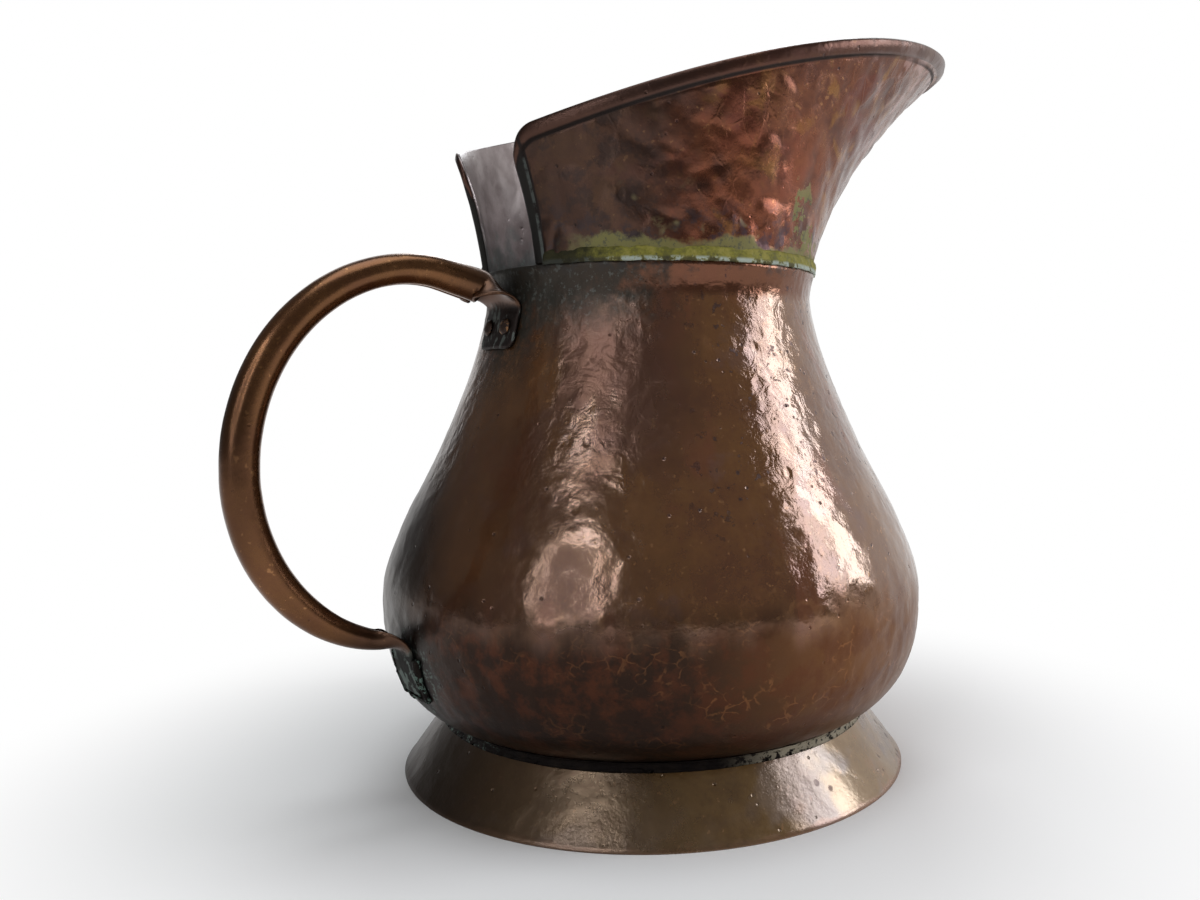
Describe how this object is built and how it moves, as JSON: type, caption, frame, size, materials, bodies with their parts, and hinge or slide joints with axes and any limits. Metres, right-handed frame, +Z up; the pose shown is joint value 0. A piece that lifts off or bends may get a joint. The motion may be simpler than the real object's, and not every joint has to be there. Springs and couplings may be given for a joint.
{
  "type": "copper jug",
  "caption": "Hammered copper jug: pear-shaped body on a flared foot, open sheet collar rising to a pouring lip, rolled strip handle with two tabs.",
  "frame": {"origin": "middle of the footprint's bounding box, on the surface that the foot rests on; the body's own axis stands 10 mm further towards +X", "axes": "+X towards the pouring lip, with the handle at -X; +Y across the jug; +Z up"},
  "size_m": [0.3134, 0.2142, 0.287],
  "materials": {
    "body_copper": "planished by hammer, mottled brown patina, tinned inside",
    "foot_copper": "smoother olive-brown patina with worn lower edge",
    "collar_copper": "coarse hammer marks, red-brown patina, tinned inside",
    "handle_copper": "worn smooth, satin",
    "rivet_copper": "hammered heads, dark patina",
    "seam_solder": "brazing metal with yellow-green verdigris",
    "dark_solder": "solder with dark green patina"
  },
  "bodies": {
    "root": {"body_shell": "body_copper", "foot_ring": "foot_copper", "spout_collar": "collar_copper", "handle": "handle_copper", "upper_rivet_near": "rivet_copper", "upper_rivet_far": "rivet_copper", "collar_solder": "seam_solder", "foot_solder": "dark_solder", "lower_tab_solder": "dark_solder"}
  },
  "joints": []
}
